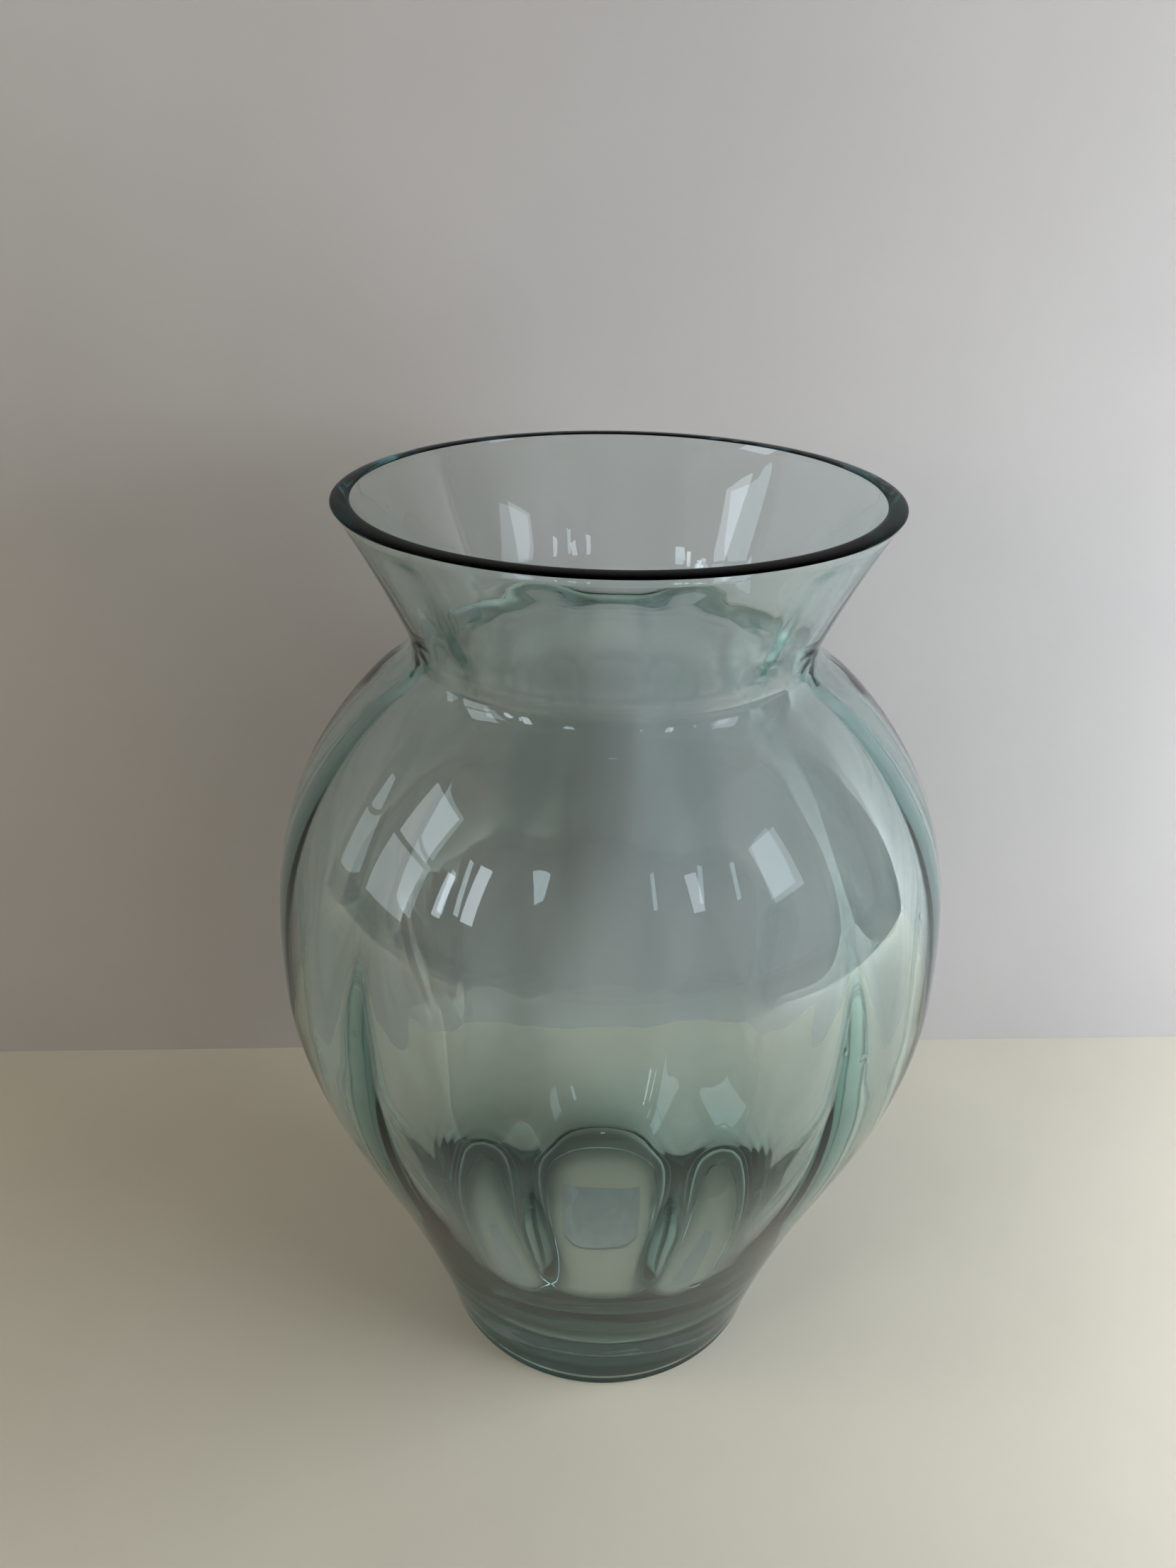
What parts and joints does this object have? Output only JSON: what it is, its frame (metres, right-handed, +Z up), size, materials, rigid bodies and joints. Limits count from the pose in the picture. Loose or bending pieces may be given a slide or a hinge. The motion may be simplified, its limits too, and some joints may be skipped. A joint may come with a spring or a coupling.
{
  "type": "ribbed glass vase",
  "caption": "Round-bellied blown glass vase with soft inner ribs, a thick solid foot, a narrow neck and a wide flared mouth with a flat ground rim.",
  "frame": {"origin": "on the vase's axis, in the plane that the foot stands on", "axes": "+Z up along the vase's axis, -Y towards the viewer, +X to the viewer's right"},
  "size_m": [0.16, 0.16, 0.23],
  "materials": {
    "tinted_glass": "clear, blue-green tint, fire polished; rim ground flat and polished",
    "paper": "matt, smooth, pale blue-grey"
  },
  "bodies": {
    "root": {"vase_glass": "tinted_glass", "base_label": "paper"}
  },
  "joints": []
}
